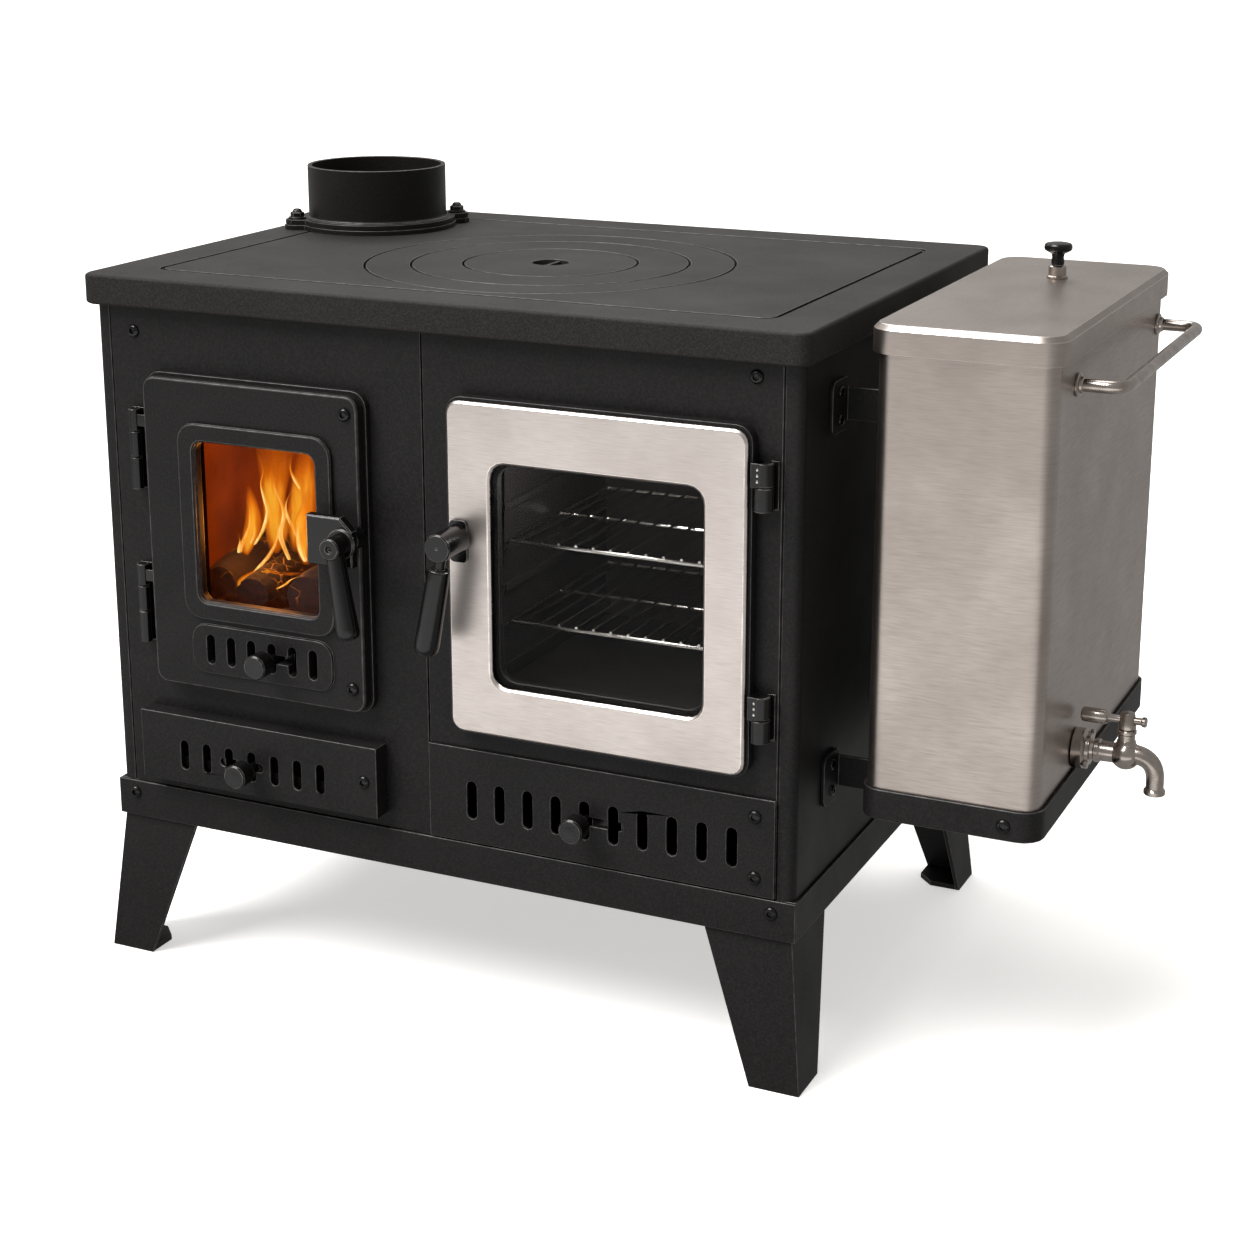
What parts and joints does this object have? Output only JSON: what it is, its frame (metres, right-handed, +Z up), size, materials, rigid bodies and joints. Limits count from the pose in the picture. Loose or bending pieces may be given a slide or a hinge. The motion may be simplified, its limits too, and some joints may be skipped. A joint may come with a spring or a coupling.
{
  "type": "wood burning stove",
  "caption": "Wood burning cook stove with a glazed fire door, a glazed oven door, an ash drawer, cooking rings, a flue collar and a side water tank with a tap.",
  "frame": {"origin": "on the floor under the middle of the stove's bounding box", "axes": "+X from the fire door towards the water tank, +Y from the doors to the back, +Z up"},
  "size_m": [0.9006, 0.5218, 0.6696],
  "materials": {
    "black_powder_coat": "fine textured powder coat",
    "cast_iron": "sanded, heat darkened",
    "stainless_steel": "brushed stainless",
    "rack_wire": "plated wire",
    "black_enamel": "baked enamel",
    "galvanised_sheet": "dull plain sheet",
    "firebrick": "porous firebrick",
    "fire_glass": "clear ceramic glass",
    "black_satin_steel": "blackened satin steel",
    "black_knob": "moulded black knob on a steel ferrule"
  },
  "bodies": {
    "stove_body": {"ash_drawer_guide": "galvanised_sheet", "back_panel": "black_powder_coat", "fire_front_sheet": "black_powder_coat", "fire_grate": "cast_iron", "fire_hinge_fixed_lower": "black_satin_steel", "fire_hinge_fixed_upper": "black_satin_steel", "firebox_floor": "galvanised_sheet", "firebrick_back": "firebrick", "firebrick_left": "firebrick", "firebrick_right": "firebrick", "floor_panel": "galvanised_sheet", "flue_collar": "cast_iron", "leg_back_left": "black_powder_coat", "leg_back_right": "black_powder_coat", "leg_front_left": "black_powder_coat", "leg_front_right": "black_powder_coat", "lower_vent_panel": "black_powder_coat", "oven_box": "black_enamel", "oven_front_sheet": "black_powder_coat", "oven_hinge_fixed_lower": "black_satin_steel", "oven_hinge_fixed_upper": "black_satin_steel", "plinth_frame": "black_powder_coat", "plinth_front": "black_powder_coat", "side_panel_left": "black_powder_coat", "side_panel_right": "black_powder_coat", "tank_body": "stainless_steel", "tank_bracket_lower": "black_powder_coat", "tank_bracket_upper": "black_powder_coat", "tank_handle": "stainless_steel", "tank_tray": "black_powder_coat", "tap_body": "stainless_steel", "top_plate": "cast_iron"},
    "outer_ring": {"outer_ring": "cast_iron"},
    "middle_ring": {"middle_ring": "cast_iron"},
    "centre_lid": {"centre_lid": "cast_iron"},
    "lower_damper": {"lower_vent_damper": "black_satin_steel"},
    "ash_drawer": {"ash_drawer_front": "black_powder_coat", "ash_drawer_tray": "galvanised_sheet"},
    "ash_damper": {"ash_damper": "black_satin_steel"},
    "fire_door": {"fire_door_frame": "cast_iron", "fire_door_slab": "black_powder_coat", "fire_window_bezel": "black_powder_coat", "fire_window_glass": "fire_glass", "fire_latch_box": "black_satin_steel", "fire_hinge_knuckle_upper": "black_satin_steel", "fire_hinge_knuckle_lower": "black_satin_steel"},
    "fire_damper": {"fire_door_damper": "black_satin_steel"},
    "fire_handle": {"fire_door_handle": "black_satin_steel"},
    "oven_door": {"oven_door_liner": "black_powder_coat", "oven_door_trim": "stainless_steel", "oven_door_glass": "fire_glass", "oven_handle_plate": "black_satin_steel", "oven_hinge_knuckle_upper": "black_satin_steel", "oven_hinge_knuckle_lower": "black_satin_steel"},
    "oven_handle": {"oven_door_handle": "black_satin_steel"},
    "rack_upper": {"oven_rack_upper": "rack_wire"},
    "rack_lower": {"oven_rack_lower": "rack_wire"},
    "tank_cover": {"tank_lid": "stainless_steel", "tank_lid_knob": "black_knob"},
    "tap_lever": {"tap_lever": "stainless_steel"}
  },
  "joints": [
    {"name": "outer_ring_lift", "type": "slide", "parent": "stove_body", "child": "outer_ring", "axis": [0, 0, 1], "range_m": [0, 0.08]},
    {"name": "middle_ring_lift", "type": "slide", "parent": "outer_ring", "child": "middle_ring", "axis": [0, 0, 1], "range_m": [0, 0.08]},
    {"name": "centre_lid_lift", "type": "slide", "parent": "middle_ring", "child": "centre_lid", "axis": [0, 0, 1], "range_m": [0, 0.08]},
    {"name": "lower_damper_slide", "type": "slide", "parent": "stove_body", "child": "lower_damper", "axis": [1, 0, 0], "range_m": [0, 0.0128]},
    {"name": "ash_drawer_slide", "type": "slide", "parent": "stove_body", "child": "ash_drawer", "axis": [0, -1, 0], "range_m": [0, 0.25]},
    {"name": "ash_damper_slide", "type": "slide", "parent": "ash_drawer", "child": "ash_damper", "axis": [-1, 0, 0], "range_m": [0, 0.0114]},
    {"name": "fire_door_hinge", "type": "hinge", "parent": "stove_body", "child": "fire_door", "pos_m": [-0.3981, -0.20795, 0.3965], "axis": [0, 0, -1], "range_deg": [0, 110]},
    {"name": "fire_damper_slide", "type": "slide", "parent": "fire_door", "child": "fire_damper", "axis": [1, 0, 0], "range_m": [0, 0.0101]},
    {"name": "fire_handle_turn", "type": "hinge", "parent": "fire_door", "child": "fire_handle", "pos_m": [-0.1786, -0.22585, 0.415], "axis": [0, 1, 0], "range_deg": [0, 100]},
    {"name": "oven_door_hinge", "type": "hinge", "parent": "stove_body", "child": "oven_door", "pos_m": [0.171, -0.20865, 0.3965], "axis": [0, 0, 1], "range_deg": [0, 115]},
    {"name": "oven_handle_turn", "type": "hinge", "parent": "oven_door", "child": "oven_handle", "pos_m": [-0.0831, -0.22585, 0.426], "axis": [0, -1, 0], "range_deg": [0, 100]},
    {"name": "oven_rack_upper_slide", "type": "slide", "parent": "stove_body", "child": "rack_upper", "axis": [0, -1, 0], "range_m": [0, 0.045]},
    {"name": "oven_rack_lower_slide", "type": "slide", "parent": "stove_body", "child": "rack_lower", "axis": [0, -1, 0], "range_m": [0, 0.045]},
    {"name": "tank_cover_lift", "type": "slide", "parent": "stove_body", "child": "tank_cover", "axis": [0, 0, 1], "range_m": [0, 0.06]},
    {"name": "tap_lever_turn", "type": "hinge", "parent": "stove_body", "child": "tap_lever", "pos_m": [0.4179, -0.05485, 0.296], "axis": [0, 0, 1], "range_deg": [0, 90]}
  ]
}
